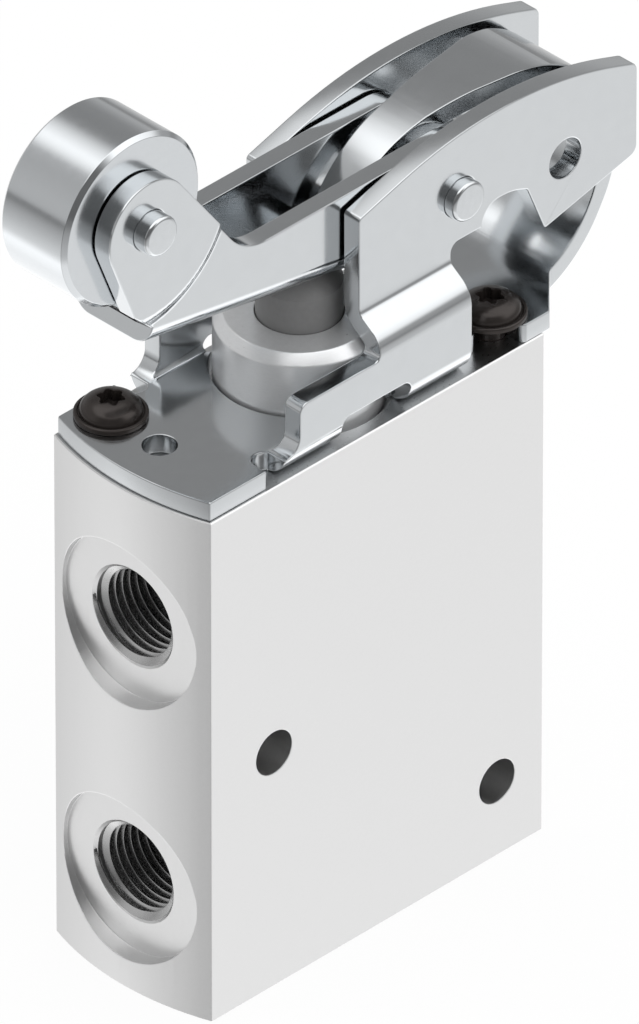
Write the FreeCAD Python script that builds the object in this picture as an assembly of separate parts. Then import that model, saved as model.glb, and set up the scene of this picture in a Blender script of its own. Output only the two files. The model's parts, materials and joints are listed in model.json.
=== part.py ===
import FreeCAD, Part
import math
import os

from FreeCAD import Vector

# Roller lever air valve, in millimetres.
# A cam runs under the roller, the lever turns about its pin and pushes the plunger down,
# the plunger's tube meets the poppet and lifts it off its seat.
# The origin is on the plunger's axis, in the middle of the body's bottom face.
# X runs from the front end with two ports to the rear end, Z is up.

# Valve body
body_length = 42.4
body_width = 20.0
body_height = 55.0
body_end_bulge = 1.7
body_edge_chamfer = 0.12

# Ports, parallel pipe thread of one eighth inch
port_radius = 4.864
port_depth = 8.5
port_mouth_chamfer = 0.3
spotface_radius = 8.5
upper_port_drop = 15.1
lower_port_height = 11.7
rear_port_height = 25.6
passage_radius = 2.0

# Through holes for the mounting bolts
mounting_hole_radius = 2.25
front_hole_x = -13.2
front_hole_height = 25.9
rear_hole_x = 15.4
rear_hole_height = 8.3

# Bores of the body, on the plunger's axis
guide_thread_radius = 6.5
guide_thread_depth = 8.0
spring_chamber_radius = 5.8
spring_chamber_wall = 3.6
valve_chamber_above_port = 2.8
valve_chamber_radius = 6.4
insert_bore_radius = 7.2

# Guide collar
collar_side_gap = 0.05
collar_height = 8.15
collar_recess_depth = 1.0
collar_recess_gap = 0.7
collar_chamfer = 0.95
guide_clearance = 0.06

# Plunger and its tube
plunger_radius = 4.0
plunger_dome_radius = 5.2
plunger_gap = 0.03
flange_radius = 5.4
flange_thickness = 3.4
flange_gap = 0.05
tube_radius = 2.0
tube_bore_radius = 1.1
tube_socket_depth = 3.0
tube_vent_radius = 0.8
tube_clearance = 0.05

# Seat insert, poppet and closing plug
insert_below_port = 3.1
insert_web = 4.5
insert_skirt = 1.0
seat_radius = 2.7
seat_ridge_width = 0.4
seat_ridge_height = 0.4
seat_gap = 0.02
disc_radius = 3.9
disc_thickness = 2.0
disc_proud = 0.5
poppet_radius = 4.7
poppet_head_height = 3.1
poppet_stem_radius = 1.5
poppet_stem_length = 10.0
poppet_lost_motion = 1.05
stem_clearance = 0.06
plug_top = 7.0
plug_guide_depth = 4.5
plug_key_hole_radius = 1.0
plug_key_hole_depth = 1.5
plug_key_hole_offset = 4.2

# Seal rings: width of a groove, and the play of a ring in it
seal_section = 1.2
seal_play = 0.03
seal_sides = 8

# Springs, wound from short straight runs
spring_wire = 0.8
spring_wire_sides = 6
spring_runs_per_turn = 12
plunger_spring_radius = 3.9
plunger_spring_turns = 5
poppet_spring_radius = 2.9
poppet_spring_turns = 4
spring_end_gap = 0.05

# Lever bracket, one stamping of bent sheet
bracket_sheet = 2.0
bracket_side_inset = 0.08
bracket_bend = 0.6
bracket_end_inset = 0.3
bracket_hole_clearance = 0.28
bracket_vent_radius = 1.6
bracket_vent_x = -17.7
relief_front_x = -13.85
relief_width = 2.3
relief_depth = 2.8
relief_rounding = 1.14
slot_front_x = 14.9
slot_rear_x = 18.55
slot_depth = 4.85
slot_step_depth = 2.2
slot_rounding = 0.6
arch_width = 8.6
arch_height = 1.05
arch_corner = 0.9

# Cheeks of the bracket: each rise is a height above the body
flange_front_x = -9.8
flange_rear_x = 12.1
flange_foot = 1.9
step_rise = 7.15
joggle_rise = 7.4
joggle_angle = 55.0
joggle_bend = 1.0
cheek_front_x = 0.4
cheek_front_rise = 21.15
cheek_crest_x = 19.6
cheek_crest_rise = 26.75
cheek_crest_bend = 45.0
cheek_rear_x = 35.9
cheek_rear_rise = 21.05
cheek_rear_bottom_rise = 11.4
cheek_point_x = 24.1
cheek_point_rise = 8.7
cheek_notch_rear_x = 21.84
cheek_notch_rear_rise = 14.05
cheek_notch_middle_x = 19.9
cheek_notch_middle_rise = 14.85
cheek_notch_front_x = 16.1
cheek_notch_front_rise = 14.95
cheek_notch_rounding = 2.1
cheek_notch_bottom_rise = 12.75
cheek_corner = 1.0
step_corner = 0.7
spare_hole_x = 26.7
spare_hole_rise = 15.1
spare_hole_radius = 2.0

# Tail of the bracket: it curls over and stops the lever
tail_cut_x = 22.0
tail_bend_x = 23.5
tail_bend_radius = 10.05
tail_top_run = 3.2
tail_top_radius = 33.0
tail_top_angle = 13.5
tail_curl_radius = 12.0
tail_tip_gap = 0.15
tail_edge_rounding = 6.0
tail_side_gap = 0.2
tail_shoulder_spread = 0.75
tail_rear_x = 33.5
# The upper run of the tail narrows towards its tip: (x, half width)
tail_taper = [
    (0.0, 1.75),
    (7.0, 2.05),
    (13.8, 2.35),
    (19.3, 3.0),
    (24.8, 3.8),
    (28.0, 4.15),
    (31.8, 4.25),
]

# Bracket screws, three millimetre thread
front_screw_x = -17.5
rear_screw_x = 17.9
screw_from_side = 3.6
screw_shank_radius = 1.5
screw_length = 8.0
screw_flange_radius = 3.43
screw_flange_height = 0.6
screw_head_radius = 2.9
screw_shoulder_radius = 2.5
screw_shoulder_height = 1.45
screw_head_height = 2.1
screw_crown_radius = 1.6
screw_socket_radius = 1.25
screw_socket_depth = 1.2

# Roller lever, a channel of bent sheet with joggled ears
lever_sheet = 2.0
lever_side_gap = 0.25
lever_bend = 0.2
lever_floor_angle = 10.0
lever_floor_drop = 3.75
lever_floor_front_x = -23.8
lever_floor_rear_x = 8.6
lever_end_radius = 5.1
lever_top_corner = 5.5
ear_radius = 5.0
ear_front_angle = 203.3
ear_rear_angle = 36.5
ear_tip_x = -27.0
ear_tip_rise = 5.9
ear_tip_corner = 0.6
ear_outward = 1.3
ear_joggle_radius = 10.6
ear_joggle_width = 1.7
ear_joggle_rounding = 1.5

# Pins and roller
pivot_x = 13.25
pivot_rise = 17.4
pivot_pin_radius = 2.0
pivot_pin_proud = 1.2
roller_x = -25.05
roller_above_pivot = 14.6
roller_radius = 8.6
roller_side_gap = 0.15
roller_edge = 0.3
roller_clearance = 0.05
roller_pin_radius = 2.0
roller_pin_proud = 1.6
pin_chamfer = 0.3
pin_fit = 0.03

# How far a cutting or joining shape reaches past the surface it works on
margin = 1.0
joint_lap = 0.05

UP = Vector(0, 0, 1)
ACROSS = Vector(0, 1, 0)
ALONG = Vector(1, 0, 0)

half_length = body_length / 2
collar_top = body_height + collar_height
spigot_bottom = body_height - guide_thread_depth
recess_floor = body_height - collar_recess_depth
plate_top = body_height + bracket_sheet
upper_port_height = body_height - upper_port_drop
valve_chamber_roof = rear_port_height + valve_chamber_above_port
spring_chamber_floor = valve_chamber_roof + spring_chamber_wall
insert_top = rear_port_height - insert_below_port
insert_bottom = insert_top - insert_web
seat_height = insert_bottom - seat_ridge_height
disc_top = seat_height - seat_gap
poppet_head_top = disc_top - disc_proud
poppet_head_bottom = poppet_head_top - poppet_head_height
flange_bottom = spigot_bottom - flange_gap - flange_thickness

# Distances out from the middle plane: the lever is half as wide as its bracket
bracket_outside = body_width / 2 - bracket_side_inset
bend_line = bracket_outside - bracket_bend - bracket_sheet
collar_radius = bracket_outside - bracket_sheet - collar_side_gap
lever_outside = bracket_outside / 2
cheek_inside = lever_outside + lever_side_gap
cheek_outside = cheek_inside + bracket_sheet
joggle_inward = bracket_outside - cheek_outside
ear_outside = lever_outside + ear_outward
roller_half_width = ear_outside - lever_sheet - roller_side_gap
tail_rear_half_width = cheek_inside - tail_side_gap
tail_shoulder_half_width = tail_rear_half_width + tail_shoulder_spread

# Heights of the lever and its pins
pivot_height = body_height + pivot_rise
roller_height = pivot_height + roller_above_pivot
lever_floor_height = pivot_height - lever_floor_drop
lever_top = pivot_height + lever_end_radius
floor_slope = math.tan(math.radians(lever_floor_angle))
floor_rise = 1 / math.cos(math.radians(lever_floor_angle))

# Heights of the middle of each seal groove
collar_groove_height = recess_floor - 1.5 * seal_section
plunger_groove_height = spigot_bottom + 2 * seal_section
tube_groove_height = (valve_chamber_roof + spring_chamber_floor) / 2
insert_groove_height = (insert_bottom + insert_top) / 2
plug_groove_height = plug_top / 2

# The two screws lie on a diagonal of the plate
screw_y = body_width / 2 - screw_from_side
screw_places = [(front_screw_x, screw_y), (rear_screw_x, -screw_y)]


def side_view(x, z):
    """A point of the middle plane, which the side view shows."""
    return Vector(x, 0, z)


def plan_view(x, y):
    """A point of the ground plane, which the plan shows."""
    return Vector(x, y, 0)


def end_view(y, z):
    """A point of the plane across the body."""
    return Vector(0, y, z)


def floor_under(x):
    """Height of the lever floor's underside at x."""
    return lever_floor_height - floor_slope * x


def rod(radius, start, axis, length):
    """A round bar from start, along axis."""
    return Part.makeCylinder(radius, length, start, axis)


def cross_rod(radius, x, z, half):
    """A round bar across the part, even about the middle plane."""
    return rod(radius, Vector(x, -half, z), ACROSS, 2 * half)


def stem_rod(radius, bottom, top):
    """A round bar on the plunger's axis."""
    return rod(radius, Vector(0, 0, bottom), UP, top - bottom)


def stem_ring(outer, inner, bottom, top):
    """A ring on the plunger's axis."""
    return stem_rod(outer, bottom, top).cut(stem_rod(inner, bottom, top))


def turned(profile):
    """A solid turned about the Z axis from (radius, height) corners."""
    corners = [side_view(radius, height) for radius, height in profile]
    face = Part.Face(Part.makePolygon(corners + corners[:1]))
    return face.revolve(Vector(0, 0, 0), UP, 360)


def outline(corners, view):
    """A closed wire through (a, b, radius) corners, each rounded by its radius."""
    points = [view(a, b) for a, b, radius in corners]
    starts = []
    ends = []
    edges = []
    for i, (a, b, radius) in enumerate(corners):
        here = points[i]
        back = (points[i - 1] - here).normalize()
        ahead = (points[(i + 1) % len(points)] - here).normalize()
        if radius == 0:
            starts.append(here)
            ends.append(here)
            continue
        half = back.getAngle(ahead) / 2
        reach = radius / math.tan(half)
        middle = here + (back + ahead).normalize() * (radius / math.sin(half) - radius)
        starts.append(here + back * reach)
        ends.append(here + ahead * reach)
        edges.append(Part.Arc(starts[i], middle, ends[i]).toShape())
    for i in range(len(points)):
        following = starts[(i + 1) % len(points)]
        if ends[i].distanceToPoint(following) > 1e-6:
            edges.append(Part.makeLine(ends[i], following))
    return Part.Wire(Part.__sortEdges__(edges))


def side_slab(corners, inside, outside):
    """A plate with a side-view outline, between two distances across the part."""
    face = Part.Face(outline(corners, side_view))
    slab = face.extrude(ACROSS * (outside - inside))
    slab.translate(ACROSS * inside)
    return slab


def plan_slab(corners, bottom, top):
    """A plate with a plan outline, between two heights."""
    slab = Part.Face(outline(corners, plan_view)).extrude(UP * (top - bottom))
    slab.translate(UP * bottom)
    return slab


def folded_strip(start, heading, sheet, moves, view):
    """The section of a bent sheet, drawn along its right-hand face.

    A move is ("run", length) or ("bend", inner radius, angle), and a left turn is positive.
    """
    angle = math.radians(heading)
    here = Vector(*start, 0)
    right_edges = []
    left_edges = []

    def seen(point):
        return view(point.x, point.y)

    def left_of(point, direction):
        return point + Vector(-math.sin(direction), math.cos(direction), 0) * sheet

    for kind, amount, *turn in moves:
        if kind == "run":
            there = here + Vector(math.cos(angle), math.sin(angle), 0) * amount
            right_edges.append(Part.makeLine(seen(here), seen(there)))
            left_edges.append(Part.makeLine(seen(left_of(here, angle)), seen(left_of(there, angle))))
            here = there
            continue
        sweep = math.radians(turn[0])
        side = math.copysign(1, sweep)
        right_radius = amount + sheet if side > 0 else amount
        left_radius = amount if side > 0 else amount + sheet
        normal = Vector(-math.sin(angle), math.cos(angle), 0) * side
        centre = here + normal * right_radius

        def on_arc(radius, share):
            toward = angle + sweep * share
            return seen(centre - Vector(-math.sin(toward), math.cos(toward), 0) * side * radius)

        for edges, radius in ((right_edges, right_radius), (left_edges, left_radius)):
            arc = Part.Arc(on_arc(radius, 0), on_arc(radius, 0.5), on_arc(radius, 1))
            edges.append(arc.toShape())
        angle += sweep
        here = centre - Vector(-math.sin(angle), math.cos(angle), 0) * side * right_radius
    caps = [
        Part.makeLine(right_edges[0].Vertexes[0].Point, left_edges[0].Vertexes[0].Point),
        Part.makeLine(seen(here), seen(left_of(here, angle))),
    ]
    return Part.Face(Part.Wire(Part.__sortEdges__(right_edges + left_edges + caps)))


def mirrored(shape):
    """The same shape on the other side of the middle plane."""
    return shape.mirror(Vector(0, 0, 0), ACROSS)


def both_sides(shape):
    """A shape and its mirror image, as one."""
    return shape.fuse(mirrored(shape))


def curved_bar(inset, bottom, top):
    """A bar with the body's curved ends, drawn in by inset all round."""
    half_width = body_width / 2
    corners = [
        (-half_length, -half_width),
        (half_length, -half_width),
        (half_length, half_width),
        (-half_length, half_width),
    ]
    points = [plan_view(x, y) for x, y in corners]
    crown = half_length + body_end_bulge
    edges = [
        Part.makeLine(points[0], points[1]),
        Part.Arc(points[1], plan_view(crown, 0), points[2]).toShape(),
        Part.makeLine(points[2], points[3]),
        Part.Arc(points[3], plan_view(-crown, 0), points[0]).toShape(),
    ]
    wire = Part.Wire(Part.__sortEdges__(edges))
    if inset:
        wire = wire.makeOffset2D(-inset)
    bar = Part.Face(wire).extrude(UP * (top - bottom))
    bar.translate(UP * bottom)
    return bar


def groove(inner, outer, middle):
    """The room of a seal groove between two radii, about a height."""
    return stem_ring(outer, inner, middle - seal_section / 2, middle + seal_section / 2)


def seal_ring(inner, outer, middle):
    """A seal ring that fits a groove with a little play."""
    apothem = (outer - inner) / 2 - seal_play
    corner = apothem / math.cos(math.pi / seal_sides)
    profile = []
    for i in range(seal_sides):
        turn = (i + 0.5) * 2 * math.pi / seal_sides
        profile.append(((inner + outer) / 2 + corner * math.cos(turn), middle + corner * math.sin(turn)))
    return turned(profile)


def coil(radius, turns, bottom, top):
    """A coil spring between two heights."""
    wire = spring_wire / 2
    runs = turns * spring_runs_per_turn
    points = []
    for i in range(runs + 1):
        turn = 2 * math.pi * i / spring_runs_per_turn
        height = bottom + wire + (top - bottom - spring_wire) * i / runs
        points.append(Vector(radius * math.cos(turn), radius * math.sin(turn), height))
    start = points[0]
    ahead = (points[1] - start).normalize()
    side = ahead.cross(UP).normalize()
    above = ahead.cross(side)
    ring = []
    for i in range(spring_wire_sides):
        turn = 2 * math.pi * i / spring_wire_sides
        ring.append(start + (side * math.cos(turn) + above * math.sin(turn)) * wire)
    section = Part.makePolygon(ring + ring[:1])
    return Part.Wire(Part.makePolygon(points)).makePipeShell([section], True, False, 1)


def port(side, height):
    """The spotface, bore and passage of a port in the front (-1) or rear (+1) end."""
    inward = ALONG * -side
    mouth = Vector(side * half_length, 0, height)
    spotface = rod(spotface_radius, mouth, ALONG * side, body_end_bulge + margin)
    bore = rod(port_radius, mouth, inward, port_depth)
    wide = port_radius + port_mouth_chamfer
    chamfer = Part.makeCone(wide, port_radius, port_mouth_chamfer, mouth, inward)
    passage = rod(passage_radius, mouth, inward, half_length - insert_bore_radius / 2)
    return spotface.fuse([bore, chamfer, passage])


def make_valve_body():
    """The aluminium body with its ports, bores and through holes."""
    bar = curved_bar(0, 0, body_height)
    rims = [edge for edge in bar.Edges if edge.BoundBox.ZLength < body_height / 2]
    bar = bar.makeChamfer(body_edge_chamfer, rims)
    cuts = [
        port(-1, upper_port_height),
        port(-1, lower_port_height),
        port(1, rear_port_height),
        stem_rod(collar_radius + collar_recess_gap, recess_floor, body_height),
        stem_rod(guide_thread_radius, spigot_bottom, recess_floor),
        stem_rod(spring_chamber_radius, spring_chamber_floor, spigot_bottom),
        stem_rod(tube_radius + tube_clearance, valve_chamber_roof, spring_chamber_floor),
        stem_rod(valve_chamber_radius, insert_top, valve_chamber_roof),
        stem_rod(insert_bore_radius, 0, insert_top),
        groove(tube_radius, tube_radius + seal_section, tube_groove_height),
        cross_rod(mounting_hole_radius, front_hole_x, front_hole_height, body_width),
        cross_rod(mounting_hole_radius, rear_hole_x, rear_hole_height, body_width),
    ]
    for x, y in screw_places:
        cuts.append(rod(screw_shank_radius, Vector(x, y, body_height - screw_length), UP, screw_length))
    return bar.cut(cuts)


def make_tube_seal():
    return seal_ring(tube_radius + tube_clearance, tube_radius + seal_section, tube_groove_height)


def make_guide_collar():
    """The turned collar that guides the plunger and screws into the body."""
    collar = turned([
        (0, spigot_bottom),
        (guide_thread_radius, spigot_bottom),
        (guide_thread_radius, recess_floor),
        (collar_radius, recess_floor),
        (collar_radius, collar_top - collar_chamfer),
        (collar_radius - collar_chamfer, collar_top),
        (0, collar_top),
    ])
    return collar.cut([
        stem_rod(plunger_radius + guide_clearance, spigot_bottom, collar_top),
        groove(plunger_radius, plunger_radius + seal_section, plunger_groove_height),
        groove(guide_thread_radius - seal_section, guide_thread_radius, collar_groove_height),
    ])


def make_collar_seal():
    return seal_ring(guide_thread_radius - seal_section, guide_thread_radius, collar_groove_height)


def make_plunger_seal():
    return seal_ring(plunger_radius + guide_clearance, plunger_radius + seal_section, plunger_groove_height)


def make_plunger():
    """The plastic plunger: a domed rod with a flange under the collar."""
    dome_centre = floor_under(0) - (plunger_dome_radius + plunger_gap) * floor_rise
    shoulder = dome_centre + math.sqrt(plunger_dome_radius ** 2 - plunger_radius ** 2)
    halfway = math.asin(plunger_radius / plunger_dome_radius) / 2
    mid_height = dome_centre + plunger_dome_radius * math.cos(halfway)
    tip = side_view(0, dome_centre + plunger_dome_radius)
    middle = side_view(plunger_dome_radius * math.sin(halfway), mid_height)
    crown = Part.Arc(tip, middle, side_view(plunger_radius, shoulder))
    corners = [
        side_view(plunger_radius, shoulder),
        side_view(plunger_radius, spigot_bottom - flange_gap),
        side_view(flange_radius, spigot_bottom - flange_gap),
        side_view(flange_radius, flange_bottom),
        side_view(0, flange_bottom),
        tip,
    ]
    edges = [Part.makeLine(a, b) for a, b in zip(corners, corners[1:])]
    edges.append(crown.toShape())
    face = Part.Face(Part.Wire(Part.__sortEdges__(edges)))
    plunger = face.revolve(Vector(0, 0, 0), UP, 360)
    return plunger.cut(stem_rod(tube_radius, flange_bottom, flange_bottom + tube_socket_depth))


def make_tappet_tube():
    """The tube under the plunger, which vents the valve until it meets the poppet."""
    bottom = disc_top + poppet_lost_motion
    vent_height = spring_chamber_floor + passage_radius + 2 * tube_vent_radius
    tube = stem_rod(tube_radius, bottom, flange_bottom + tube_socket_depth)
    hollow = stem_rod(tube_bore_radius, bottom, vent_height + tube_vent_radius)
    return tube.cut([hollow, cross_rod(tube_vent_radius, 0, vent_height, tube_radius * 2)])


def make_plunger_spring():
    return coil(
        plunger_spring_radius, plunger_spring_turns,
        spring_chamber_floor + spring_end_gap, flange_bottom - spring_end_gap,
    )


def make_seat_insert():
    """The cup that carries the seat and parts the two chambers."""
    insert = stem_rod(insert_bore_radius, plug_top, insert_top)
    ridge = stem_ring(seat_radius + seat_ridge_width, seat_radius, seat_height, insert_bottom)
    windows = [
        cross_rod(passage_radius, 0, lower_port_height, body_width),
        rod(passage_radius, Vector(-body_width, 0, lower_port_height), ALONG, 2 * body_width),
    ]
    cuts = [
        stem_rod(insert_bore_radius - insert_skirt, plug_top, insert_bottom),
        stem_rod(seat_radius, insert_bottom, insert_top),
        groove(insert_bore_radius - seal_section, insert_bore_radius, insert_groove_height),
    ]
    return insert.cut(cuts + windows).fuse(ridge)


def make_seat_seal():
    return seal_ring(insert_bore_radius - seal_section, insert_bore_radius, insert_groove_height)


def make_poppet():
    """The poppet: a cup for the sealing disc on a guided stem."""
    head = stem_rod(poppet_radius, poppet_head_bottom, poppet_head_top)
    cup = stem_rod(disc_radius, disc_top - disc_thickness, poppet_head_top)
    stem = stem_rod(poppet_stem_radius, poppet_head_bottom - poppet_stem_length, poppet_head_bottom)
    return head.cut(cup).fuse(stem)


def make_poppet_disc():
    return stem_rod(disc_radius, disc_top - disc_thickness, disc_top)


def make_poppet_spring():
    return coil(
        poppet_spring_radius, poppet_spring_turns,
        plug_top + spring_end_gap, poppet_head_bottom - spring_end_gap,
    )


def make_closing_plug():
    """The threaded plug that closes the body under the poppet and guides its stem."""
    plug = stem_rod(insert_bore_radius, 0, plug_top)
    cuts = [
        stem_rod(poppet_stem_radius + stem_clearance, plug_top - plug_guide_depth, plug_top),
        groove(insert_bore_radius - seal_section, insert_bore_radius, plug_groove_height),
    ]
    for y in (-plug_key_hole_offset, plug_key_hole_offset):
        cuts.append(rod(plug_key_hole_radius, end_view(y, 0), UP, plug_key_hole_depth))
    return plug.cut(cuts)


def make_plug_seal():
    return seal_ring(insert_bore_radius - seal_section, insert_bore_radius, plug_groove_height)


def make_bracket_screws():
    """Two button-head screws with flanges."""
    top = plate_top + screw_head_height
    screw = turned([
        (0, body_height - screw_length),
        (screw_shank_radius, body_height - screw_length),
        (screw_shank_radius, plate_top),
        (screw_flange_radius, plate_top),
        (screw_flange_radius, plate_top + screw_flange_height),
        (screw_head_radius, plate_top + screw_flange_height),
        (screw_shoulder_radius, plate_top + screw_shoulder_height),
        (screw_crown_radius, top),
        (0, top),
    ])
    screw = screw.cut(stem_rod(screw_socket_radius, top - screw_socket_depth, top))
    screws = []
    for x, y in screw_places:
        placed = screw.copy()
        placed.translate(plan_view(x, y))
        screws.append(placed)
    return Part.Compound(screws)


def joggled_wall(front, rear):
    """The bent sheet of a cheek: the bend from the plate, a wall, the joggle and the upper wall."""
    slant = math.radians(joggle_angle)
    two_bends = 2 * joggle_bend + bracket_sheet
    slant_run = (joggle_inward - two_bends * (1 - math.cos(slant))) / math.sin(slant)
    moves = [
        ("bend", bracket_bend, 90),
        ("run", joggle_rise - bracket_sheet - bracket_bend),
        ("bend", joggle_bend, joggle_angle),
        ("run", slant_run),
        ("bend", joggle_bend, -joggle_angle),
        ("run", cheek_crest_rise - joggle_rise),
    ]
    section = folded_strip((bend_line, body_height), 0, bracket_sheet, moves, end_view)
    wall = section.extrude(ALONG * (rear - front))
    wall.translate(ALONG * front)
    return wall


def make_cheek():
    """One side wall of the bracket, cut to its side outline."""
    foot = flange_front_x - flange_foot
    flat_wall = Part.makeBox(
        cheek_rear_x - cheek_notch_front_x, bracket_sheet, cheek_crest_rise - step_rise,
        Vector(cheek_notch_front_x, cheek_inside, body_height + step_rise),
    )
    wall = joggled_wall(foot, cheek_notch_front_x).fuse(flat_wall)
    corners = [
        (foot, body_height - margin, 0),
        (foot, plate_top, 0),
        (flange_front_x, plate_top, flange_foot),
        (flange_front_x, body_height + step_rise, cheek_corner),
        (cheek_front_x, body_height + step_rise, step_corner),
        (cheek_front_x, body_height + cheek_front_rise, cheek_corner / 2),
        (cheek_crest_x, body_height + cheek_crest_rise, cheek_crest_bend),
        (cheek_rear_x, body_height + cheek_rear_rise, cheek_corner),
        (cheek_rear_x, body_height + cheek_rear_bottom_rise, cheek_corner),
        (cheek_point_x, body_height + cheek_point_rise, cheek_corner / 3),
        (cheek_notch_rear_x, body_height + cheek_notch_rear_rise, cheek_corner / 2),
        (cheek_notch_middle_x, body_height + cheek_notch_middle_rise, tail_edge_rounding),
        (cheek_notch_front_x, body_height + cheek_notch_front_rise, cheek_notch_rounding),
        (cheek_notch_front_x, body_height + cheek_notch_bottom_rise, 0),
        (flange_rear_x, body_height + cheek_notch_bottom_rise, cheek_corner),
        (flange_rear_x, body_height - margin, 0),
    ]
    half_arch = arch_width / 2
    arch_top = plate_top + arch_height
    arch = side_slab([
        (-half_arch, body_height - margin, 0),
        (-half_arch, arch_top, arch_corner),
        (half_arch, arch_top, arch_corner),
        (half_arch, body_height - margin, 0),
    ], 0, body_width)
    holes = [
        cross_rod(pivot_pin_radius, pivot_x, pivot_height, body_width),
        cross_rod(spare_hole_radius, spare_hole_x, body_height + spare_hole_rise, body_width),
    ]
    return wall.common(side_slab(corners, 0, body_width)).cut([arch] + holes)


def make_plate():
    """The flat plate of the bracket, with its reliefs, slots and holes."""
    edge = bracket_outside
    tail_start = edge - (tail_bend_x - tail_cut_x)
    plate = plan_slab([
        (-body_length, -edge, 0),
        (tail_cut_x, -edge, 0),
        (tail_bend_x, -tail_start, 0),
        (tail_bend_x, tail_start, 0),
        (tail_cut_x, edge, 0),
        (-body_length, edge, 0),
    ], body_height, plate_top)
    rear = Part.makeBox(body_length, body_width, bracket_sheet, Vector(0, -body_width / 2, body_height))
    plate = plate.common(curved_bar(bracket_end_inset, body_height, plate_top).fuse(rear))
    beyond = edge + margin
    relief_rear_x = relief_front_x + relief_width
    side = plan_slab([
        (flange_front_x - flange_foot, -beyond, 0),
        (flange_rear_x, -beyond, 0),
        (flange_rear_x, -bend_line, 0),
        (flange_front_x - flange_foot, -bend_line, 0),
    ], body_height, plate_top)
    relief = plan_slab([
        (relief_front_x, -beyond, 0),
        (relief_rear_x, -beyond, 0),
        (relief_rear_x, relief_depth - edge, relief_rounding),
        (relief_front_x, relief_depth - edge, relief_rounding),
    ], body_height, plate_top)
    slot = plan_slab([
        (flange_rear_x, -beyond, 0),
        (tail_cut_x, -beyond, 0),
        (tail_cut_x, -edge, 0),
        (slot_rear_x, -edge, slot_rounding),
        (slot_rear_x, slot_depth - edge, slot_rounding),
        (slot_front_x, slot_depth - edge, slot_rounding),
        (slot_front_x, slot_step_depth - edge, slot_rounding),
        (flange_rear_x, slot_step_depth - edge, 0),
    ], body_height, plate_top)
    cuts = [both_sides(side), both_sides(relief), both_sides(slot)]
    cuts.append(stem_rod(collar_radius + bracket_hole_clearance, body_height, plate_top))
    cuts.append(rod(bracket_vent_radius, Vector(bracket_vent_x, 0, body_height), UP, bracket_sheet))
    for x, y in screw_places:
        cuts.append(rod(screw_shank_radius + pin_fit, Vector(x, y, body_height), UP, bracket_sheet))
    return plate.cut(cuts)


def tail_curl_angle():
    """How far the tail's last bend turns before its tip meets the lever's floor."""
    top = body_height + 2 * (tail_bend_radius + bracket_sheet)
    turned_by = math.radians(tail_top_angle)
    x = tail_bend_x - tail_top_run - (tail_top_radius - tail_curl_radius) * math.sin(turned_by)
    z = top - (tail_top_radius + bracket_sheet) + (tail_top_radius - tail_curl_radius) * math.cos(turned_by)
    floor_angle = math.radians(lever_floor_angle)
    floor_top = floor_under(x) + lever_sheet * floor_rise
    height = (z - floor_top) * math.cos(floor_angle)
    heading = math.acos((tail_tip_gap - height) / tail_curl_radius) - floor_angle
    return math.degrees(heading) - tail_top_angle


def make_tail():
    """The tail: a strap that narrows as it curls up, over and down to the lever's floor."""
    moves = [
        ("bend", tail_bend_radius, 180),
        ("run", tail_top_run),
        ("bend", tail_top_radius, tail_top_angle),
        ("bend", tail_curl_radius, tail_curl_angle()),
    ]
    section = folded_strip((tail_bend_x, body_height), 0, bracket_sheet, moves, side_view)
    strap = section.extrude(ACROSS * body_width)
    strap.translate(ACROSS * (-body_width / 2))
    start = bracket_outside - (tail_bend_x - tail_cut_x)
    shoulder_x = tail_cut_x + bracket_outside - tail_shoulder_half_width
    far_rear = tail_bend_x + tail_bend_radius + bracket_sheet + margin
    rear = [(tail_rear_x, tail_rear_half_width), (far_rear, tail_rear_half_width)]
    middle = body_height + bracket_sheet + tail_bend_radius
    low = [(tail_bend_x, start), (shoulder_x, tail_shoulder_half_width)] + rear
    high = tail_taper + rear
    blanks = []
    for widths, bottom, top in ((low, body_height, middle), (high, middle, 2 * middle)):
        inner = widths[1:-1]
        corners = [widths[0] + (0,)]
        corners += [(x, half, cheek_corner) for x, half in inner]
        corners += [widths[-1] + (0,)]
        near = [(x, -half, rounding) for x, half, rounding in corners]
        blanks.append(plan_slab(near + corners[::-1], bottom, top))
    return strap.common(blanks[0].fuse(blanks[1]))


def make_lever_bracket():
    cheek = make_cheek()
    bracket = make_plate().fuse([cheek, mirrored(cheek), make_tail()])
    return bracket.removeSplitter()


def ear_tangent(angle):
    """The point of the ear's round top where an edge leaves it."""
    turn = math.radians(angle)
    return roller_x + ear_radius * math.cos(turn), roller_height + ear_radius * math.sin(turn)


def dished_wall():
    """A side wall of the lever, with its ear pressed outwards round the roller's axis."""
    inside = lever_outside - lever_sheet
    near_edge = ear_joggle_radius - ear_joggle_width / 2
    far_edge = ear_joggle_radius + ear_joggle_width / 2
    reach = body_length + body_width
    corners = [
        (0, inside + ear_outward, 0),
        (near_edge, inside + ear_outward, ear_joggle_rounding),
        (far_edge, inside, ear_joggle_rounding),
        (reach, inside, 0),
        (reach, lever_outside, 0),
        (far_edge, lever_outside, ear_joggle_rounding),
        (near_edge, ear_outside, ear_joggle_rounding),
        (0, ear_outside, 0),
    ]
    wall = Part.Face(outline(corners, plan_view)).revolve(Vector(0, 0, 0), ACROSS, 360)
    wall.translate(side_view(roller_x, roller_height))
    return wall


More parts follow.
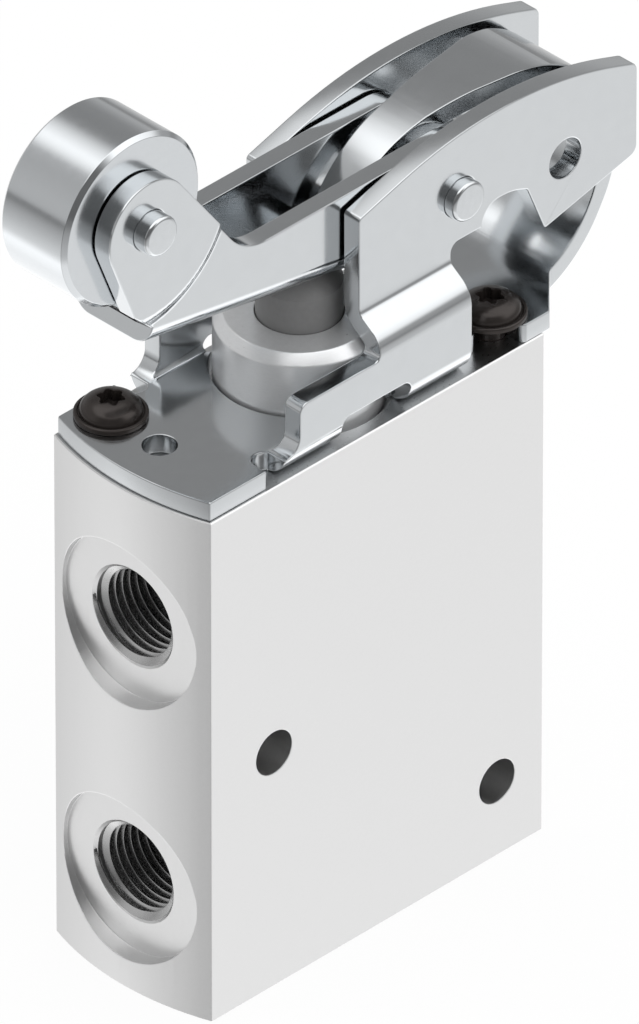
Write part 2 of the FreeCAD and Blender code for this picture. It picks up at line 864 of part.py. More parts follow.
def make_lever_wall():
    """One side wall of the lever, from the ear to the round end at the pivot."""
    front_x, front_height = ear_tangent(ear_front_angle)
    rear_x, rear_height = ear_tangent(ear_rear_angle)
    edge_turn = math.radians(90 - ear_rear_angle)
    top_x = rear_x + (rear_height - lever_top) / math.tan(edge_turn)
    bend = lever_bend + lever_sheet
    corners = [
        (lever_floor_front_x + bend * floor_slope, floor_under(lever_floor_front_x) + bend, 0),
        (ear_tip_x, pivot_height + ear_tip_rise, ear_tip_corner),
        (front_x, front_height, 0),
        (roller_x, roller_height, 0),
        (rear_x, rear_height, 0),
        (top_x, lever_top, lever_top_corner),
        (pivot_x, lever_top, 0),
        (pivot_x, floor_under(pivot_x) + bend, 0),
    ]
    sheet = side_slab(corners, 0, body_width)
    ear = rod(ear_radius, side_view(roller_x, roller_height), ACROSS, body_width)
    end = rod(lever_end_radius, side_view(pivot_x, pivot_height), ACROSS, body_width)
    wall = dished_wall().common(sheet.fuse([ear, end]))
    holes = [
        cross_rod(roller_pin_radius, roller_x, roller_height, body_width),
        cross_rod(pivot_pin_radius + pin_fit, pivot_x, pivot_height, body_width),
    ]
    return wall.cut(holes)


def make_lever_floor():
    """The sloping floor of the lever with its two bends, cut square at both ends."""
    bend = lever_bend + lever_sheet
    moves = [
        ("run", joint_lap),
        ("bend", lever_bend, 90),
        ("run", 2 * (lever_outside - bend)),
        ("bend", lever_bend, 90),
        ("run", joint_lap),
    ]
    section = folded_strip((-lever_outside, bend + joint_lap), -90, lever_sheet, moves, end_view)
    floor = section.extrude(ALONG * (lever_floor_rear_x - lever_floor_front_x) * floor_rise)
    floor.rotate(Vector(0, 0, 0), ACROSS, lever_floor_angle)
    floor.translate(side_view(lever_floor_front_x, floor_under(lever_floor_front_x)))
    return floor


def make_roller_lever():
    wall = make_lever_wall()
    return make_lever_floor().fuse([wall, mirrored(wall)]).removeSplitter()


def turned_across(profile, x, z):
    """A turned solid with its axis across the part."""
    shape = turned(profile)
    shape.rotate(Vector(0, 0, 0), ALONG, -90)
    shape.translate(side_view(x, z))
    return shape


def cross_pin(radius, x, z, half):
    """A pin across the part with chamfered ends."""
    tip = half - pin_chamfer
    return turned_across([
        (0, -half),
        (radius - pin_chamfer, -half),
        (radius, -tip),
        (radius, tip),
        (radius - pin_chamfer, half),
        (0, half),
    ], x, z)


def make_lever_pivot_pin():
    return cross_pin(pivot_pin_radius, pivot_x, pivot_height, cheek_outside + pivot_pin_proud)


def make_roller_pin():
    return cross_pin(roller_pin_radius, roller_x, roller_height, ear_outside + roller_pin_proud)


def make_roller():
    """The steel roller with its bore and eased edges."""
    half = roller_half_width
    bore = roller_pin_radius + roller_clearance
    return turned_across([
        (bore, -half),
        (roller_radius - roller_edge, -half),
        (roller_radius, -half + roller_edge),
        (roller_radius, half - roller_edge),
        (roller_radius - roller_edge, half),
        (bore, half),
    ], roller_x, roller_height)


pieces = {
    "valve_body": make_valve_body,
    "guide_collar": make_guide_collar,
    "collar_seal": make_collar_seal,
    "plunger": make_plunger,
    "plunger_seal": make_plunger_seal,
    "tappet_tube": make_tappet_tube,
    "tube_seal": make_tube_seal,
    "plunger_spring": make_plunger_spring,
    "seat_insert": make_seat_insert,
    "seat_seal": make_seat_seal,
    "poppet": make_poppet,
    "poppet_disc": make_poppet_disc,
    "poppet_spring": make_poppet_spring,
    "closing_plug": make_closing_plug,
    "plug_seal": make_plug_seal,
    "lever_bracket": make_lever_bracket,
    "bracket_screws": make_bracket_screws,
    "roller_lever": make_roller_lever,
    "lever_pivot_pin": make_lever_pivot_pin,
    "roller": make_roller,
    "roller_pin": make_roller_pin,
}

os.makedirs("parts", exist_ok=True)
for name, make in pieces.items():
    shape = make()
    shape.exportStep(os.path.join("parts", name + ".step"))
    print(name, "solids", len(shape.Solids), "valid", shape.isValid(), "volume", round(shape.Volume, 2))
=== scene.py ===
import json
import math

import bmesh
import bpy
from mathutils import Matrix, Vector
from mathutils.kdtree import KDTree

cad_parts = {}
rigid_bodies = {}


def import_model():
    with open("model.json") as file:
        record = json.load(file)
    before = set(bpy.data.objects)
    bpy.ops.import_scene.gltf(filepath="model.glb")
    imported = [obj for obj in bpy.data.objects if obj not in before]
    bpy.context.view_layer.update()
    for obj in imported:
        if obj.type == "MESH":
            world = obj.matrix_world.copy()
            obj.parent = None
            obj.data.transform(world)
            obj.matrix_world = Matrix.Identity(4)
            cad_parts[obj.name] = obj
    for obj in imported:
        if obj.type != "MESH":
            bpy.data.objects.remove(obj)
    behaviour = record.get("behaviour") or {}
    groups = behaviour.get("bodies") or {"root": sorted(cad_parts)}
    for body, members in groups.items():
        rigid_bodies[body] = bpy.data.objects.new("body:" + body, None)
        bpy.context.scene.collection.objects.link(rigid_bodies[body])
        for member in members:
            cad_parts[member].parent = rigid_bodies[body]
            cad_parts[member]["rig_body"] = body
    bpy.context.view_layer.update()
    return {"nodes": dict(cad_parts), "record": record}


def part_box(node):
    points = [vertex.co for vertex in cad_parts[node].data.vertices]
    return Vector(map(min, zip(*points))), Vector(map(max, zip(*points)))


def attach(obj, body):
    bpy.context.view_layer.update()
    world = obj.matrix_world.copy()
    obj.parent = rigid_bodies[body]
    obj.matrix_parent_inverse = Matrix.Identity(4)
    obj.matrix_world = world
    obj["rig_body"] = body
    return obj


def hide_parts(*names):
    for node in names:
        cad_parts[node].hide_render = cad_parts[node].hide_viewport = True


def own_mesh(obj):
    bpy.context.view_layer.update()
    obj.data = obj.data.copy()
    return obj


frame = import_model()
nodes = frame["nodes"]
slots = {row["node"]: row["material_slot"] for row in frame["record"]["subparts"]}

# Blender works in metres; every length in this file that is a plain number is in millimetres
MM = 0.001
# Points closer than this are one point
WELD = 0.001 * MM


# ---- Camera ----

# The picture's height in pixels, and the camera that the photographed edges give
PICTURE_HEIGHT = 1024
SENSOR_HEIGHT = 24.0
FOCAL_PIXELS = 34757.0
CAMERA_TURN = -45.0287
CAMERA_RISE = 35.0364
CAMERA_ROLL = 0.0082
CAMERA_DISTANCE = 3130.7754
CAMERA_TARGET = (-1.2, 0.0, 48.0)
CAMERA_SHIFT_RIGHT = 2.6663
CAMERA_SHIFT_UP = -5.35


def make_camera():
    """The photograph's camera: far away with a long lens, so that edges stay nearly parallel."""
    turn = math.radians(CAMERA_TURN)
    rise = math.radians(CAMERA_RISE)
    roll = math.radians(CAMERA_ROLL)
    back = Vector((
        math.sin(turn) * math.cos(rise),
        -math.cos(turn) * math.cos(rise),
        math.sin(rise),
    ))
    right = Vector((math.cos(turn), math.sin(turn), 0))
    up = back.cross(right)
    rolled_right = right * math.cos(roll) + up * math.sin(roll)
    rolled_up = up * math.cos(roll) - right * math.sin(roll)
    place = (
        Vector(CAMERA_TARGET)
        + back * CAMERA_DISTANCE
        + rolled_right * CAMERA_SHIFT_RIGHT
        + rolled_up * CAMERA_SHIFT_UP
    )
    data = bpy.data.cameras.new("camera")
    data.sensor_fit = "VERTICAL"
    data.sensor_height = SENSOR_HEIGHT
    data.lens = FOCAL_PIXELS * SENSOR_HEIGHT / PICTURE_HEIGHT
    data.clip_start = 0.1
    data.clip_end = 100.0
    camera = bpy.data.objects.new("camera", data)
    turned = Matrix((rolled_right, rolled_up, back)).transposed()
    camera.matrix_world = Matrix.Translation(place * MM) @ turned.to_4x4()
    bpy.context.scene.collection.objects.link(camera)
    bpy.context.scene.camera = camera


# ---- Materials ----

class Tree:
    """A short way to lay out shader nodes."""

    def __init__(self, tree):
        self.tree = tree
        tree.nodes.clear()

    def add(self, kind, inputs=None, **settings):
        node = self.tree.nodes.new(kind)
        for name, value in settings.items():
            setattr(node, name, value)
        for name, value in (inputs or {}).items():
            socket = node.inputs[name]
            if isinstance(value, bpy.types.NodeSocket):
                self.tree.links.new(value, socket)
            else:
                socket.default_value = value
        return node

    def math(self, operation, *values):
        inputs = {i: value for i, value in enumerate(values)}
        return self.add("ShaderNodeMath", inputs, operation=operation).outputs[0]

    def ramp(self, value, stops):
        """A curve through (value, grey) or (value, colour) stops."""
        node = self.add("ShaderNodeValToRGB", {"Fac": value})
        elements = node.color_ramp.elements
        while len(elements) < len(stops):
            elements.new(0.5)
        for element, (place, color) in zip(elements, stops):
            element.position = place
            element.color = color if isinstance(color, tuple) else (color, color, color, 1)
        return node.outputs["Color"]

    def blend(self, share, a, b, kind="MIX"):
        """From a to b with the share, or another kind of mix of the two."""
        inputs = {"Factor": share, "A": a, "B": b}
        mix = self.add("ShaderNodeMix", inputs, data_type="RGBA", blend_type=kind)
        return mix.outputs["Result"]

    def either(self, share, a, b):
        """From shader a to shader b with the share."""
        return self.add("ShaderNodeMixShader", {"Fac": share, 1: a.outputs[0], 2: b.outputs[0]})

    def seen(self, ray):
        """1 for rays from the camera, also after they went through glass, and 0 for the others."""
        return self.math("MAXIMUM", ray["Is Camera Ray"], ray["Is Transmission Ray"])


def new_material(name):
    material = bpy.data.materials.new(name)
    material.use_nodes = True
    return material, Tree(material.node_tree)


def shader(
    name, color, roughness, metallic=0.0, spread=0.05, grain=0.6, bump=0.0, stretch=(1, 1, 1),
):
    """A material whose colour, roughness and surface vary by a grain of its own size."""
    material, tree = new_material(name)
    place = tree.add("ShaderNodeTexCoord").outputs["Object"]
    scale = tuple(along / (grain * MM) for along in stretch)
    placed = tree.add("ShaderNodeMapping", {"Vector": place, "Scale": scale})
    noise = tree.add("ShaderNodeTexNoise", {
        "Vector": placed.outputs[0], "Scale": 1.0, "Detail": 4.0, "Roughness": 0.6,
    })
    height = noise.outputs["Fac"]
    low = tuple(c * (1 - spread) for c in color) + (1,)
    high = tuple(min(1, c * (1 + spread)) for c in color) + (1,)
    inputs = {
        "Base Color": tree.ramp(height, [(0.3, low), (0.7, high)]),
        "Metallic": metallic,
        "Roughness": tree.ramp(height, [(0.25, roughness * 0.85), (0.75, roughness * 1.15)]),
    }
    if bump:
        relief = tree.add("ShaderNodeBump", {
            "Height": height, "Strength": 1.0, "Distance": bump * MM,
        })
        inputs["Normal"] = relief.outputs["Normal"]
    surface = tree.add("ShaderNodeBsdfPrincipled", inputs)
    tree.add("ShaderNodeOutputMaterial", {"Surface": surface.outputs[0]})
    return material


def grey(value):
    return (value, value, value)


STEEL = (0.645, 0.665, 0.68)
ROLLER_STEEL = (0.65, 0.672, 0.69)
COLLAR_ALUMINIUM = (0.86, 0.87, 0.88)
# Darker than the body's grey: painted shade on the body's upper faces under the bracket
SHADED_TOP_ALUMINIUM = (0.6, 0.605, 0.61)
PLUG_ALUMINIUM = (0.70, 0.71, 0.72)
BRASS = (0.72, 0.52, 0.24)
BLACKENED = (0.042, 0.035, 0.032)

# The slots' materials, and those of the body's bores and upper faces and of the threads, whose
# darker greys are painted shade
LOOKS = {
    "body": dict(
        color=grey(0.79), roughness=0.36, metallic=1.0, spread=0.012, grain=0.35, bump=0.0012,
    ),
    # Painted shade: the dark grey inside the ports' bores
    "bore": dict(color=grey(0.36), roughness=0.32, metallic=1.0, spread=0.03, grain=0.35),
    # Painted shade: the threads are greyer than the body
    "thread": dict(color=grey(0.62), roughness=0.26, metallic=1.0, spread=0.02, grain=0.35),
    # Painted shade on the body's upper faces
    "top": dict(color=SHADED_TOP_ALUMINIUM, roughness=0.3, metallic=1.0, spread=0.03, grain=0.35),
    "collar": dict(
        color=COLLAR_ALUMINIUM, roughness=0.32, metallic=0.65, spread=0.03, grain=0.5,
        stretch=(1, 1, 8),
    ),
    "plunger": dict(color=grey(0.17), roughness=0.42, bump=0.002),
    "tube": dict(color=grey(0.6), roughness=0.3, metallic=1.0),
    "seal": dict(color=grey(0.025), roughness=0.5, spread=0.1, grain=0.5, bump=0.003),
    "disc": dict(color=grey(0.03), roughness=0.5, spread=0.1, grain=0.5, bump=0.003),
    "spring": dict(color=grey(0.55), roughness=0.28, metallic=1.0),
    "insert": dict(color=BRASS, roughness=0.3, metallic=1.0),
    "poppet": dict(color=BRASS, roughness=0.3, metallic=1.0),
    "plug": dict(color=PLUG_ALUMINIUM, roughness=0.35, metallic=1.0, spread=0.04, grain=0.5),
    "bracket": dict(color=STEEL, roughness=0.14, metallic=1.0, spread=0.01, grain=1.5),
    "lever": dict(color=STEEL, roughness=0.14, metallic=1.0, spread=0.01, grain=1.5),
    "screw": dict(color=BLACKENED, roughness=0.24, metallic=0.5, spread=0.04, grain=0.5),
    "pin": dict(color=STEEL, roughness=0.14, metallic=1.0, spread=0.02),
    "roller": dict(color=ROLLER_STEEL, roughness=0.15, metallic=1.0, spread=0.01),
}
MATERIALS = {name: shader(name, **look) for name, look in LOOKS.items()}

for name, node in nodes.items():
    node.data.materials.clear()
    node.data.materials.append(MATERIALS[slots[name]])


# ---- Meshes and pieces ----

def shade(mesh, crease):
    """Smooth normals that keep flat faces flat: sums of the faces round a point, by area."""
    form = bmesh.new()
    form.from_mesh(mesh)
    limit = math.cos(math.radians(crease))
    normals = []
    for face in form.faces:
        face.smooth = True
        for loop in face.loops:
            total = Vector()
            for other in loop.vert.link_faces:
                if other.normal.dot(face.normal) > limit:
                    total += other.normal * other.calc_area()
            normals.append(total.normalized() if total.length else face.normal.copy())
    form.to_mesh(mesh)
    form.free()
    mesh.normals_split_custom_set(normals)


def place_piece(name, mesh, node, crease):
    """Puts a mesh in the scene as a piece in a CAD node's slot and on its body."""
    piece = bpy.data.objects.new(name, mesh)
    shade(mesh, crease)
    mesh.materials.clear()
    mesh.materials.append(MATERIALS[slots[node]])
    bpy.context.scene.collection.objects.link(piece)
    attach(piece, nodes[node]["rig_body"])
    return piece


def stand_in(name, mesh, node, crease=35):
    """A piece that is seen in place of its CAD node."""
    piece = place_piece(name, mesh, node, crease)
    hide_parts(node)
    return piece


def point_tree(points):
    """A tree that finds the nearest of some points."""
    tree = KDTree(len(points))
    for index, point in enumerate(points):
        tree.insert(point, index)
    tree.balance()
    return tree


# Faces that turn less than this many degrees are made one before the edges are eased
FLAT_TURN = 0.4
EASING_STEPS = 2
EDGE_SAMPLE = 0.1
# A bevelled point further from its edge than this many widths has strayed
STRAY_REACH = 1.7


def pull_back_strays(form, kept_places, near_edge, width):
    """Where a bevel threw a point far off its edge, the point joins its neighbour near the edge."""
    strays = set()
    for vert in form.verts:
        moved = kept_places.find(vert.co)[2] > WELD
        if moved and near_edge.find(vert.co)[2] > STRAY_REACH * width * MM:
            strays.add(vert)
    while strays:
        settled = set()
        for vert in strays:
            around = [edge.other_vert(vert) for edge in vert.link_edges]
            around = [other.co for other in around if other not in strays]
            if around:
                vert.co = min(around, key=lambda place: near_edge.find(place)[2])
                settled.add(vert)
        if not settled:
            break
        strays -= settled


def dress(node, width, corner):
    """The CAD node's own shape, with edges sharper than the corner angle eased by a width."""
    form = bmesh.new()
    form.from_mesh(nodes[node].data)
    bmesh.ops.remove_doubles(form, verts=form.verts, dist=WELD)
    bmesh.ops.dissolve_limit(
        form, angle_limit=math.radians(FLAT_TURN), verts=form.verts, edges=form.edges,
        use_dissolve_boundaries=False,
    )
    sharp = []
    for edge in form.edges:
        if len(edge.link_faces) == 2 and edge.calc_face_angle() > math.radians(corner):
            sharp.append(edge)
    edge_points = []
    for edge in sharp:
        start, end = (vert.co for vert in edge.verts)
        parts = max(1, math.ceil((end - start).length / (EDGE_SAMPLE * MM)))
        edge_points += [start.lerp(end, part / parts) for part in range(parts + 1)]
    near_edge = point_tree(edge_points)
    kept_places = point_tree([vert.co for vert in form.verts])
    bmesh.ops.bevel(
        form, geom=sharp, offset=width * MM, offset_type="OFFSET", segments=EASING_STEPS,
        profile=0.5, affect="EDGES", clamp_overlap=False, material=-1, loop_slide=True,
    )
    pull_back_strays(form, kept_places, near_edge, width)
    bmesh.ops.remove_doubles(form, verts=form.verts, dist=2 * WELD)
    bmesh.ops.dissolve_degenerate(form, dist=WELD, edges=form.edges)
    mesh = bpy.data.meshes.new(node + "_eased")
    form.to_mesh(mesh)
    form.free()
    return stand_in(node + "_eased", mesh, node, 30)


def rings_mesh(name, rings, capped=True):
    """A skin through rings of equally many points; without caps its first and last ring meet."""
    count = len(rings[0])
    points = [point for ring in rings for point in ring]
    faces = []
    for i in range(len(rings) - 1):
        for j in range(count):
            k = (j + 1) % count
            faces.append((i * count + j, i * count + k, (i + 1) * count + k, (i + 1) * count + j))
    if capped:
        faces.append(tuple(range(count))[::-1])
        faces.append(tuple((len(rings) - 1) * count + j for j in range(count)))
    mesh = bpy.data.meshes.new(name)
    mesh.from_pydata([tuple(c * MM for c in point) for point in points], [], faces)
    form = bmesh.new()
    form.from_mesh(mesh)
    if not capped:
        bmesh.ops.remove_doubles(form, verts=form.verts, dist=WELD)
    bmesh.ops.recalc_face_normals(form, faces=form.faces)
    form.to_mesh(mesh)
    form.free()
    return mesh


def rounded(corners, steps=5):
    """An open profile of (radius, distance, rounding) corners, each rounded."""
    points = []
    for i, (x, z, rounding) in enumerate(corners):
        here = Vector((x, z))
        if not rounding or i in (0, len(corners) - 1):
            points.append((x, z))
            continue
        back = (Vector(corners[i - 1][:2]) - here).normalized()
        ahead = (Vector(corners[i + 1][:2]) - here).normalized()
        half = back.angle(ahead) / 2
        middle = here + (back + ahead).normalized() * (rounding / math.sin(half))
        start = here + back * (rounding / math.tan(half)) - middle
        end = here + ahead * (rounding / math.tan(half)) - middle
        for step in range(steps + 1):
            spoke = start.lerp(end, step / steps).normalized() * rounding
            points.append(tuple(middle + spoke))
    return points


def full_turn(count):
    return [2 * math.pi * i / count for i in range(count)]


def turned_across(profile, x, z, count):
    """Rings about an axis that runs across the part; the profile is (radius, distance across)."""
    return [
        [(x + radius * math.cos(t), across, z + radius * math.sin(t)) for t in full_turn(count)]
        for radius, across in profile
    ]


# ---- Pins and roller ----

ROLLER_X = -25.05
ROLLER_Z = 87.0
PIVOT_X = 13.25
PIVOT_Z = 72.4
PIN_RADIUS = 2.0
PIN_ROUNDING = 0.34
PIN_TIP = 0.2
PIN_SIDES = 64
ROLLER_BORE = 2.05
ROLLER_CHAMFER = 0.42
CHAMFER_ROUNDING = 0.1
CHAMFER_STEPS = 7
ROLLER_SIDES = 160


def make_pin(node, x, z):
    """A pin with rounded ends."""
    half = (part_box(node)[1] / MM).y
    profile = rounded([
        (PIN_TIP, -half, 0), (PIN_RADIUS, -half, PIN_ROUNDING),
        (PIN_RADIUS, half, PIN_ROUNDING), (PIN_TIP, half, 0),
    ])
    name = node + "_round"
    stand_in(name, rings_mesh(name, turned_across(profile, x, z, PIN_SIDES)), node)


def make_roller():
    """The roller with its chamfered rims and its bore."""
    low, high = (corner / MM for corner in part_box("roller"))
    half = high.y
    radius = (high.z - low.z) / 2
    rim = radius - ROLLER_CHAMFER
    shoulder = half - ROLLER_CHAMFER
    profile = rounded([
        (ROLLER_BORE, -half, 0),
        (rim, -half, CHAMFER_ROUNDING), (radius, -shoulder, CHAMFER_ROUNDING),
        (radius, shoulder, CHAMFER_ROUNDING), (rim, half, CHAMFER_ROUNDING),
        (ROLLER_BORE, half, 0),
        (ROLLER_BORE, -half, 0),
    ], CHAMFER_STEPS)
    rings = turned_across(profile, ROLLER_X, ROLLER_Z, ROLLER_SIDES)
    stand_in("roller_round", rings_mesh("roller_round", rings, capped=False), "roller")


# ---- Bracket screws ----

PLATE_TOP = 57.0
SCREW_PLACES = {"front": (-17.5, 6.4), "rear": (17.9, -6.4)}
SCREW_SIDES = 96
HEAD_RADIUS = 2.9
HEAD_FOOT = 0.6
HEAD_RISE = 1.5
DOME_POWER = 2.6
FLANGE_RADIUS = 3.43
SOCKET_RADIUS = 1.12
SOCKET_LOBE = 0.17
SOCKET_LOBES = 6
# The socket's floor: (share of the lobes' radius, height above the plate)
SOCKET_FLOOR = [(0.3, 0.75), (0.97, 0.9), (1.0, 1.0)]
# The socket's rim: (distance out from the lobes, depth below the dome)
SOCKET_RIM = [(0.0, 0.12), (0.05, 0.03)]
# The six-lobe outline widens from this distance outside the socket to a circle of this radius
CROWN_START = 0.12
CROWN_RADIUS = 1.8
CROWN_STEPS = 8
DOME_STEPS = 9
HEAD_ROUNDING_STEPS = 3
# From the dome's foot over the flange to the end of the shank: (radius, height, rounding)
HEAD_PROFILE = [
    (HEAD_RADIUS, HEAD_FOOT, 0), (2.93, 0.47, 0), (3.02, 0.47, 0.05), (3.1, 0.6, 0.05),
    (FLANGE_RADIUS, 0.57, 0.18), (FLANGE_RADIUS, 0.1, 0.05), (3.3, 0.0, 0),
    (1.5, 0.0, 0), (1.5, -9.7, 0.3), (0.3, -10.0, 0),
]


def dome(radius):
    """Height of the screw head's dome above the plate."""
    share = min(1.0, radius / HEAD_RADIUS)
    return HEAD_FOOT + HEAD_RISE * math.sqrt(max(0.0, 1 - share ** DOME_POWER))


def make_screw(name, x, y):
    """A flanged button head with a six-lobe socket, and its shank."""
    turns = full_turn(SCREW_SIDES)
    lobes = [SOCKET_RADIUS + SOCKET_LOBE * math.cos(SOCKET_LOBES * t) for t in turns]

    def ring(radii, heights):
        return [
            (x + r * math.cos(t), y + r * math.sin(t), PLATE_TOP + h)
            for r, h, t in zip(radii, heights, turns)
        ]

    def even(radius, height):
        return ring([radius] * SCREW_SIDES, [height] * SCREW_SIDES)

    rings = []
    for share, height in SOCKET_FLOOR:
        rings.append(ring([r * share for r in lobes], [height] * SCREW_SIDES))
    for out, deep in SOCKET_RIM:
        rings.append(ring([r + out for r in lobes], [dome(r) - deep for r in lobes]))
    for step in range(1, CROWN_STEPS + 1):
        share = step / CROWN_STEPS
        radii = [(r + CROWN_START) * (1 - share) + CROWN_RADIUS * share for r in lobes]
        rings.append(ring(radii, [dome(r) for r in radii]))
    for step in range(1, DOME_STEPS + 1):
        share = math.sin(step / DOME_STEPS * math.pi / 2)
        radius = CROWN_RADIUS + (HEAD_RADIUS - CROWN_RADIUS) * share
        rings.append(even(radius, dome(radius)))
    # The dome's last ring is the profile's first
    for radius, height in rounded(HEAD_PROFILE, HEAD_ROUNDING_STEPS)[1:]:
        rings.append(even(radius, height))
    stand_in(name, rings_mesh(name, rings), "bracket_screws")


# ---- Port threads ----

# The side of each port's mouth along x, and its height
PORTS = {"upper": (-1, 39.9), "lower": (-1, 11.7), "rear": (1, 25.6)}
MOUTH_X = 21.2
THREAD_PITCH = 0.907
THREAD_MAJOR = 4.864
THREAD_MINOR = 4.25
THREAD_DEPTH = 7.8
THREAD_START = 0.3
THREAD_TURN_STEPS = 64
# Half of the ridge's section: (radius, share of half the pitch)
THREAD_SECTION = [
    (THREAD_MAJOR + 0.12, 0.9), (THREAD_MAJOR - 0.08, 0.72),
    (THREAD_MINOR + 0.05, 0.2), (THREAD_MINOR, 0.12),
]
# At both ends the ridge sinks into the wall, down to this share, over these parts of a turn
THREAD_SUNK = THREAD_MAJOR + 0.13
THREAD_LEAST = 0.1
THREAD_FADE_IN = 0.3
THREAD_FADE_OUT = 0.5


def make_thread(name, side, height):
    """The ridge of a port's inside thread, wound from the mouth inwards."""
    count = int(THREAD_DEPTH / THREAD_PITCH * THREAD_TURN_STEPS)
    half = THREAD_PITCH / 2
    section = [(radius, half * share) for radius, share in THREAD_SECTION]
    section += [(radius, -along) for radius, along in reversed(section)]
    rings = []
    for i in range(count + 1):
        turn = 2 * math.pi * i / THREAD_TURN_STEPS
        deep = THREAD_START + THREAD_PITCH * i / THREAD_TURN_STEPS
        fade_in = i / (THREAD_TURN_STEPS * THREAD_FADE_IN)
        fade_out = (count - i) / (THREAD_TURN_STEPS * THREAD_FADE_OUT)
        rise = THREAD_LEAST + (1 - THREAD_LEAST) * min(1.0, fade_in, fade_out)
        ring = []
        for full_radius, along in section:
            radius = THREAD_SUNK - (THREAD_SUNK - full_radius) * rise
            ring.append((
                side * (MOUTH_X - deep - along),
                radius * math.cos(turn),
                height + side * radius * math.sin(turn),
            ))
        rings.append(ring)
    mesh = rings_mesh(name, rings)
    place_piece(name, mesh, "valve_body", 25)
    # The threads' greyer material is painted shade inside the port
    mesh.materials[0] = MATERIALS["thread"]


# ---- Springs ----

def make_spring(node):
    """A copy of the spring's CAD mesh, seen in place of its node."""
    piece = stand_in(node + "_soft", nodes[node].data.copy(), node, 40)
    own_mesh(piece)


# ---- Body ----

BODY_TOP = 55.0
TOP_DEPTH = 1.5
BORE_START = 20.8
BORE_END = 9.0
BORE_MARGIN = 0.05


def finish_body(mesh):
    """The ports' bores and the body's upper faces get darker materials than the sides: painted
    shade inside the ports and under the bracket.
    """
    mesh.materials.append(MATERIALS["bore"])
    mesh.materials.append(MATERIALS["top"])
    bore, top = 1, 2
    for face in mesh.polygons:
        x, y, z = (c / MM for c in face.center)
        # Upper faces get the painted shade
        if face.normal.z > 0.99 and z > BODY_TOP - TOP_DEPTH:
            face.material_index = top
        # Faces inside a port's bore get the painted shade
        for side, height in PORTS.values():
            inside = math.hypot(y, z - height) < THREAD_MAJOR + BORE_MARGIN
            if BORE_END < x * side < BORE_START and inside:
                face.material_index = bore


# ---- Studio ----

# What polished metal mirrors: (sine of the elevation, a third of the strength), so that the
# ramps can hold more than white
STRENGTH = 3.0
SKY = [
    (0.0, 0.17), (0.09, 0.20), (0.26, 0.20), (0.62, 0.175), (0.73, 0.19), (0.80, 0.52), (1.0, 0.52),
]
SKY_BRIGHT = [(0.0, 0.13), (0.2, 0.15), (0.34, 0.42), (0.6, 0.52), (1.0, 0.52)]
SKY_DIM = [(0.0, 0.05), (0.72, 0.06), (0.83, 0.5), (1.0, 0.5)]
# The same below the horizon: (sine of the depression, a third of the strength)
GROUND = [
    (0.0, 0.12), (0.06, 0.105), (0.16, 0.18), (0.26, 0.22), (0.36, 0.25), (0.46, 0.285),
    (0.56, 0.31), (0.60, 0.34), (0.68, 0.52), (1.0, 0.52),
]
# Sectors of the horizon: a heading in degrees, and (cosine of the angle from it, share)
BRIGHT_SECTOR = (315, [(0.6, 0.0), (0.9, 1.0)])
DIM_SECTOR = (225, [(0.45, 0.0), (0.8, 1.0)])
GROUND_SECTORS = [
    (180, [(0.70, 1.0), (0.90, 0.70), (1.0, 0.58)]),
    (235, [(0.3, 1.0), (0.6, 0.72)]),
    (75, [(0.55, 1.0), (0.85, 0.8)]),
]
# A darker patch of sky: its middle, and (cosine of the angle from it, share)
PATCH_MIDDLE = (0.56, 0.56, 0.61)
PATCH = [(0.78, 1.0), (0.95, 0.57)]
EVEN_STRENGTH = 0.85
WHITE = (1, 1, 1, 1)


def make_world():
    """Plain white to the camera; metal mirrors a grey horizon, a bright ceiling and a dim side."""
    world = bpy.data.worlds.new("studio")
    bpy.context.scene.world = world
    world.use_nodes = True
    tree = Tree(world.node_tree)
    ray = tree.add("ShaderNodeLightPath").outputs
    toward = tree.add("ShaderNodeTexCoord").outputs["Generated"]
    x, y, z = tree.add("ShaderNodeSeparateXYZ", {0: toward}).outputs
    rest = tree.math("SUBTRACT", 1.0, tree.math("MULTIPLY", z, z))
    flat = tree.math("SQRT", tree.math("MAXIMUM", rest, 0.001))

    def sector(heading, stops):
        """A ramp over the cosine of the angle round Z from a heading."""
        turn = math.radians(heading)
        along = tree.math("MULTIPLY", x, math.cos(turn))
        along = tree.math("MULTIPLY_ADD", y, math.sin(turn), along)
        return tree.ramp(tree.math("DIVIDE", along, flat), stops)

    middle = Vector(PATCH_MIDDLE).normalized()
    near = tree.add("ShaderNodeVectorMath", {0: toward, 1: middle}, operation="DOT_PRODUCT")
    patch = tree.ramp(near.outputs["Value"], PATCH)
    sky = tree.blend(1.0, tree.ramp(z, SKY), patch, "MULTIPLY")
    sky = tree.blend(sector(*BRIGHT_SECTOR), sky, tree.ramp(z, SKY_BRIGHT))
    sky = tree.blend(sector(*DIM_SECTOR), sky, tree.ramp(z, SKY_DIM))
    ground = tree.ramp(tree.math("MULTIPLY", z, -1.0), GROUND)
    for heading, stops in GROUND_SECTORS:
        ground = tree.blend(1.0, ground, sector(heading, stops), "MULTIPLY")
    above = tree.ramp(z, [(0.0, 0.0), (0.02, 1.0)])
    mirrored = tree.blend(above, ground, sky)
    shaped = tree.add("ShaderNodeBackground", {"Color": mirrored, "Strength": STRENGTH})
    even = tree.add("ShaderNodeBackground", {"Color": WHITE, "Strength": EVEN_STRENGTH})
    white = tree.add("ShaderNodeBackground", {"Color": WHITE, "Strength": 1.0})
    lit = tree.either(ray["Is Glossy Ray"], even, shaped)
    all_rays = tree.either(tree.seen(ray), lit, white)
    tree.add("ShaderNodeOutputWorld", {"Surface": all_rays.outputs[0]})


FLOOR_REACH = 12000
# Just below the part, so that the two surfaces don't share a plane
FLOOR_HEIGHT = -0.2
FLOOR_GREY = 0.9
FLOOR_GLOW = 1.02
GLOW_SHARE = 0.9


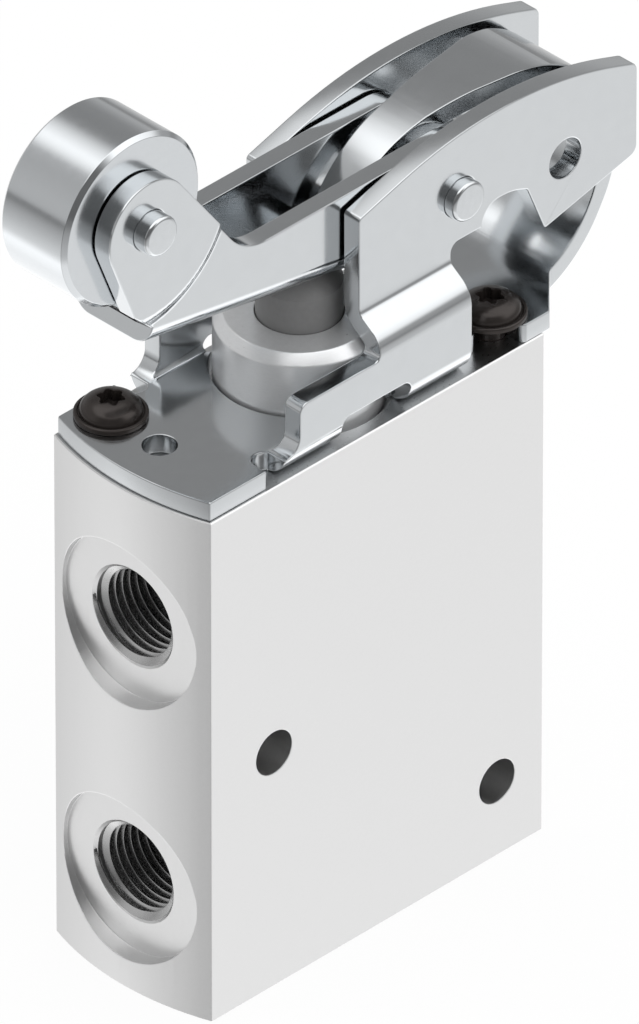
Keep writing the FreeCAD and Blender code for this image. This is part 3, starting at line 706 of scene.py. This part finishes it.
def make_floor():
    """A pale floor that keeps a soft shadow and looks white to the camera."""
    mesh = bpy.data.meshes.new("floor")
    reach = FLOOR_REACH * MM
    corners = [(-reach, -reach, 0), (reach, -reach, 0), (reach, reach, 0), (-reach, reach, 0)]
    mesh.from_pydata(corners, [], [(0, 1, 2, 3)])
    floor = bpy.data.objects.new("floor", mesh)
    floor.location.z = FLOOR_HEIGHT * MM
    floor.visible_glossy = False
    bpy.context.scene.collection.objects.link(floor)
    material, tree = new_material("floor")
    ray = tree.add("ShaderNodeLightPath").outputs
    matt = tree.add("ShaderNodeBsdfDiffuse", {"Color": grey(FLOOR_GREY) + (1,)})
    glow = tree.add("ShaderNodeEmission", {"Color": WHITE, "Strength": FLOOR_GLOW})
    share = tree.math("MULTIPLY", tree.seen(ray), GLOW_SHARE)
    surface = tree.either(share, matt, glow)
    tree.add("ShaderNodeOutputMaterial", {"Surface": surface.outputs[0]})
    mesh.materials.append(material)


LAMP_PLACE = (200, -1600, 1200)
LAMP_TARGET = (0, 0, 45)
LAMP_SIZE = 900
LAMP_POWER = 6.0


def make_lamp():
    """A large soft key lamp high at the right of the camera."""
    data = bpy.data.lights.new("key", "AREA")
    data.shape = "DISK"
    data.size = LAMP_SIZE * MM
    data.energy = LAMP_POWER
    lamp = bpy.data.objects.new("key", data)
    place = Vector(LAMP_PLACE) * MM
    lamp.location = place
    lamp.rotation_euler = (Vector(LAMP_TARGET) * MM - place).to_track_quat("-Z", "Y").to_euler()
    lamp.visible_glossy = False
    bpy.context.scene.collection.objects.link(lamp)


# ---- The scene ----

finish_body(dress("valve_body", width=0.11, corner=50).data)
dress("lever_bracket", width=0.17, corner=40)
dress("roller_lever", width=0.17, corner=40)
dress("guide_collar", width=0.12, corner=40)
make_pin("lever_pivot_pin", PIVOT_X, PIVOT_Z)
make_pin("roller_pin", ROLLER_X, ROLLER_Z)
make_roller()
for end, (x, y) in SCREW_PLACES.items():
    make_screw("screw_" + end, x, y)
make_spring("plunger_spring")
make_spring("poppet_spring")
for port, (side, height) in PORTS.items():
    make_thread("thread_" + port, side, height)

make_camera()
make_world()
make_floor()
make_lamp()

bpy.context.scene.view_settings.view_transform = "Standard"
